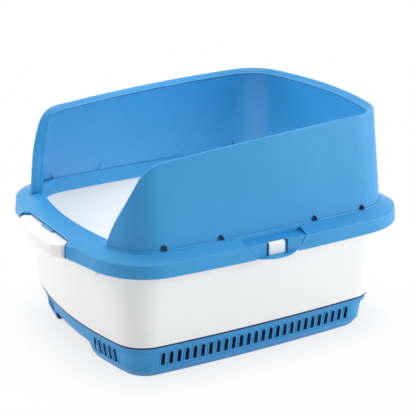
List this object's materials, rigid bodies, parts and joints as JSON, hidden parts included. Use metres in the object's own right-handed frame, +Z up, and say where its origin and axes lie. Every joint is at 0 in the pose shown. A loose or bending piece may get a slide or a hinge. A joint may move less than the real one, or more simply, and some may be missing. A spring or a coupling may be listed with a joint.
{
  "type": "litter box",
  "caption": "High-sided cat litter box: a vented stand, a deep tray with end handles, a latched rim frame and a tall hood open at the top and front.",
  "frame": {"origin": "centre of the overall box at floor level", "axes": "X along the box with the entrance at -X, Y across it, Z up; -Y is the right side for someone facing the entrance from outside"},
  "size_m": [0.5898, 0.484, 0.36],
  "materials": {
    "blue_plastic": "fine matt moulded texture",
    "white_plastic": "fine matt moulded texture"
  },
  "bodies": {
    "base": {"base": "blue_plastic"},
    "tray": {"tray": "white_plastic", "rim_frame": "blue_plastic"},
    "hood": {"hood": "blue_plastic"},
    "right_latch": {"right_latch_flap": "blue_plastic"},
    "left_latch": {"left_latch_flap": "blue_plastic"}
  },
  "joints": [
    {"name": "tray_lift", "type": "slide", "parent": "base", "child": "tray", "axis": [0, 0, 1], "range_m": [0, 0.12]},
    {"name": "hood_lift", "type": "slide", "parent": "tray", "child": "hood", "axis": [0, 0, 1], "range_m": [0, 0.18]},
    {"name": "right_latch_swing", "type": "hinge", "parent": "tray", "child": "right_latch", "pos_m": [0, -0.2265, 0.2004], "axis": [-1, 0, 0], "range_deg": [0, 12], "stiffness_Nm_per_rad": 0.4},
    {"name": "left_latch_swing", "type": "hinge", "parent": "tray", "child": "left_latch", "pos_m": [0, 0.2265, 0.2004], "axis": [1, 0, 0], "range_deg": [0, 12], "stiffness_Nm_per_rad": 0.4}
  ]
}
